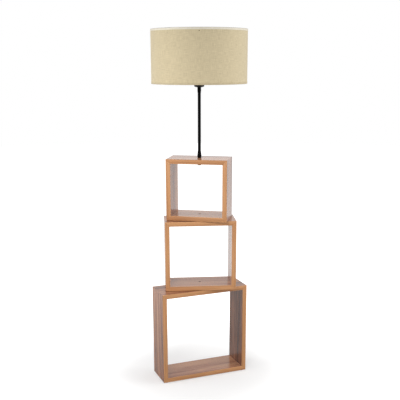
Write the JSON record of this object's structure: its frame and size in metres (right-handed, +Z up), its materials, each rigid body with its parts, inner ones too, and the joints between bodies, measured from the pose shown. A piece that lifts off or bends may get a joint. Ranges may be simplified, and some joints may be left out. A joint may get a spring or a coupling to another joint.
{
  "type": "shelf floor lamp",
  "caption": "Floor lamp on stacked open shelf boxes that turn on a common axis, with a slim black pole and a beige drum shade.",
  "frame": {"origin": "bottom centre on the lamp's axis, on the floor under the felt pads", "axes": "+Z up along the pole; -Y is the front of the middle box; +X to its right"},
  "size_m": [0.3924, 0.37, 1.4],
  "materials": {
    "walnut_melamine": "melamine faced board with a walnut print, satin, fine pores",
    "edge_band": "edge band with a lighter walnut print, satin",
    "dowel_beech": "fluted beech, unfinished",
    "felt": "pressed wool felt",
    "bronzed_steel": "dark bronzed steel",
    "zinc_steel": "bright zinc plated steel",
    "nylon": "natural nylon sheet",
    "black_coat": "satin black powder coat on steel",
    "black_plastic": "moulded black thermoset",
    "steatite": "white ceramic, unglazed",
    "brass": "rolled brass strip",
    "nickel_cap": "nickel plated screw shell",
    "white_plastic": "white moulded plastic",
    "led_board": "white solder mask on aluminium",
    "opal_globe": "opal diffuser",
    "shade_fabric": "beige plain-weave cotton, laminated",
    "shade_lining": "white backing film",
    "shade_tape": "folded beige tape",
    "white_wire": "white epoxy coated steel wire"
  },
  "bodies": {
    "lower_box": {"felt_pad_back_left": "felt", "felt_pad_back_right": "felt", "felt_pad_front_left": "felt", "felt_pad_front_right": "felt", "lower_box_bottom_panel": "walnut_melamine", "lower_box_edge_bands": "edge_band", "lower_box_left_panel": "walnut_melamine", "lower_box_mitre_dowels": "dowel_beech", "lower_box_right_panel": "walnut_melamine", "lower_box_top_panel": "walnut_melamine", "lower_pivot_bolt": "bronzed_steel", "lower_pivot_insert": "zinc_steel", "lower_slip_disc": "nylon"},
    "middle_box": {"middle_box_bottom_panel": "walnut_melamine", "middle_box_edge_bands": "edge_band", "middle_box_left_panel": "walnut_melamine", "middle_box_mitre_dowels": "dowel_beech", "middle_box_right_panel": "walnut_melamine", "middle_box_top_panel": "walnut_melamine", "upper_pivot_bolt": "bronzed_steel", "upper_pivot_insert": "zinc_steel", "upper_slip_disc": "nylon"},
    "upper_box": {"centre_contact": "brass", "contact_carrier": "steatite", "cord_bush": "black_plastic", "foot_collar": "black_coat", "foot_nipple": "zinc_steel", "foot_nut": "zinc_steel", "foot_washer": "zinc_steel", "holder_body": "black_plastic", "holder_cap": "black_plastic", "neck_collar": "black_coat", "neck_nipple": "zinc_steel", "pole_tube": "black_coat", "side_contact": "brass", "upper_box_bottom_panel": "walnut_melamine", "upper_box_edge_bands": "edge_band", "upper_box_left_panel": "walnut_melamine", "upper_box_mitre_dowels": "dowel_beech", "upper_box_right_panel": "walnut_melamine", "upper_box_top_panel": "walnut_melamine"},
    "shade": {"shade_bottom_tape": "shade_tape", "shade_fabric": "shade_fabric", "shade_fitter_frame": "white_wire", "shade_lining": "shade_lining", "shade_rivet": "bronzed_steel", "shade_top_ring": "white_wire", "shade_top_tape": "shade_tape"},
    "shade_ring": {"shade_ring": "black_plastic"},
    "bulb": {"bulb_board": "led_board", "bulb_cap": "nickel_cap", "bulb_globe": "opal_globe", "bulb_housing": "white_plastic", "bulb_insulator": "black_plastic", "bulb_tip": "brass"}
  },
  "joints": [
    {"name": "lower_swivel", "type": "hinge", "parent": "lower_box", "child": "middle_box", "pos_m": [0, 0, 0.383], "axis": [0, 0, 1], "continuous": true},
    {"name": "upper_swivel", "type": "hinge", "parent": "middle_box", "child": "upper_box", "pos_m": [0, 0, 0.67], "axis": [0, 0, 1], "continuous": true},
    {"name": "shade_turn", "type": "hinge", "parent": "upper_box", "child": "shade", "pos_m": [0, 0, 1.221], "axis": [0, 0, 1], "continuous": true},
    {"name": "shade_ring_turn", "type": "hinge", "parent": "upper_box", "child": "shade_ring", "pos_m": [0, 0, 1.2222], "axis": [0, 0, 1], "continuous": true},
    {"name": "bulb_turn", "type": "hinge", "parent": "upper_box", "child": "bulb", "pos_m": [0, 0, 1.2197], "axis": [0, 0, 1], "continuous": true}
  ]
}
